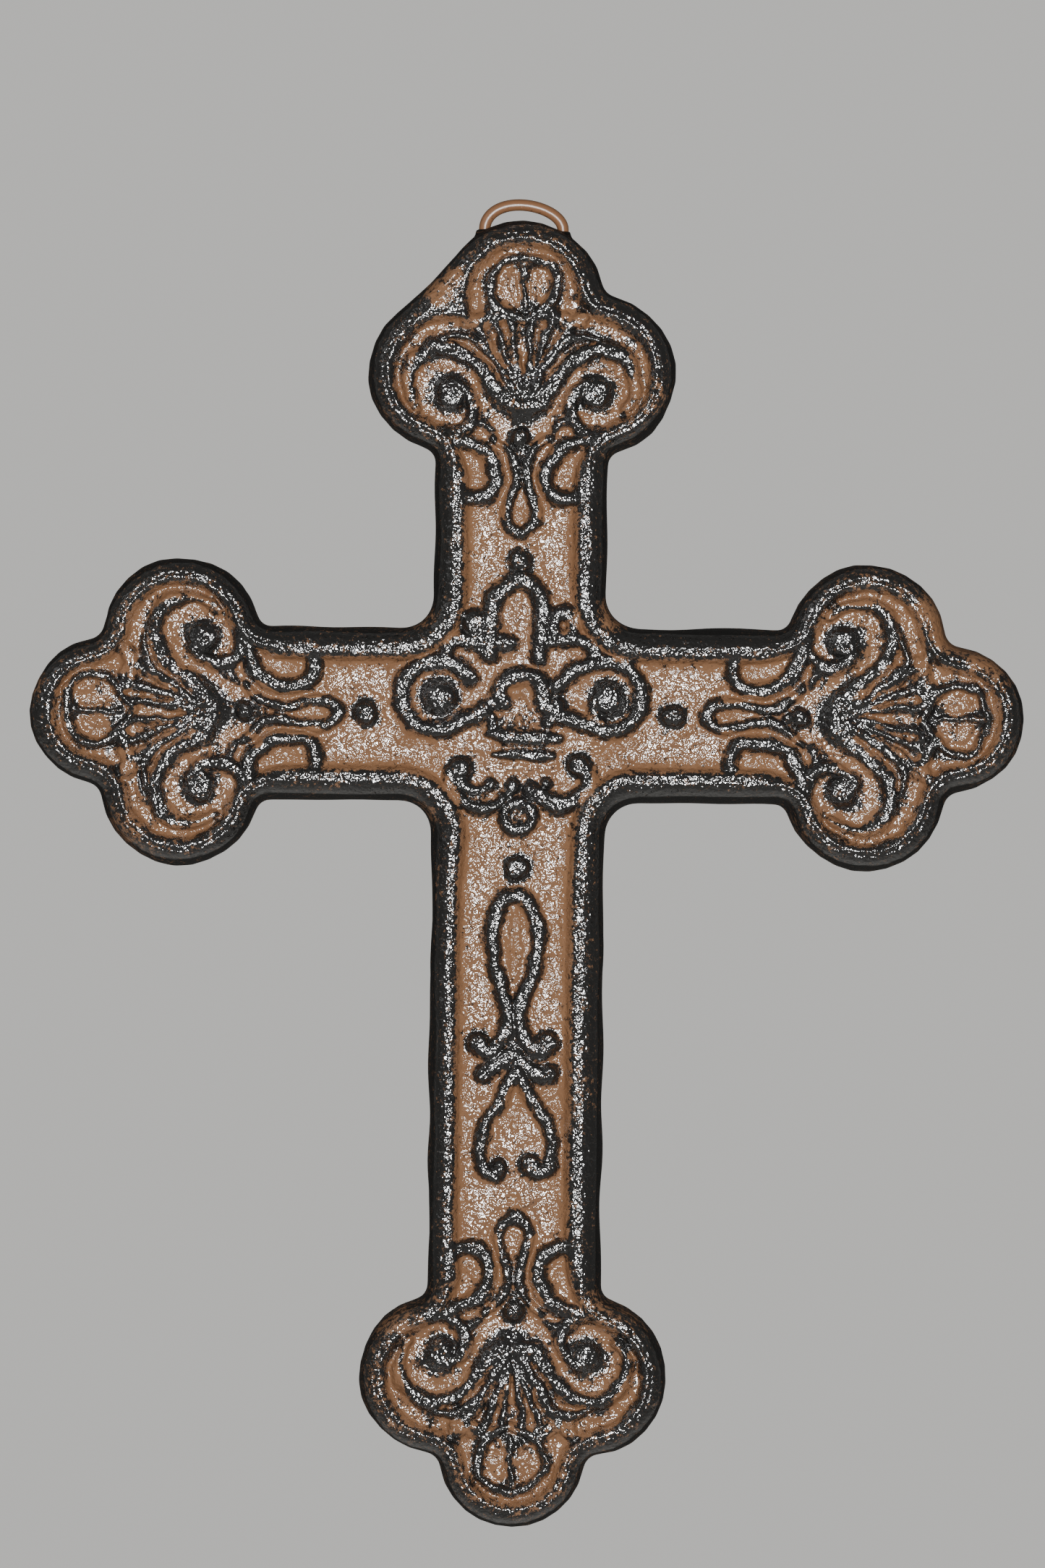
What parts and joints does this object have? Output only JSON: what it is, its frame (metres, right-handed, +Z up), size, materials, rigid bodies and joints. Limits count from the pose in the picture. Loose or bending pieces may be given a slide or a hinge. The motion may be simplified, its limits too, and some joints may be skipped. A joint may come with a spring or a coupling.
{
  "type": "wall cross",
  "caption": "Cast iron wall cross with trefoil ends and raised scroll ornament, hung on a nail by a wire loop at its top.",
  "frame": {"origin": "in the wall plane, level with the inside top of the wire loop, where a nail carries the cross", "axes": "+X to the right seen from the front, +Z up along the upper arm, +Y into the wall; the front faces -Y"},
  "size_m": [0.1757, 0.012, 0.2344],
  "materials": {
    "painted_cast_iron": "sand-cast skin under brown paint, glossy black rubbed over the raised parts",
    "painted_wire": "round steel wire under the same brown paint, satin"
  },
  "bodies": {
    "root": {"cross": "painted_cast_iron", "hanging_loop": "painted_wire"}
  },
  "joints": []
}
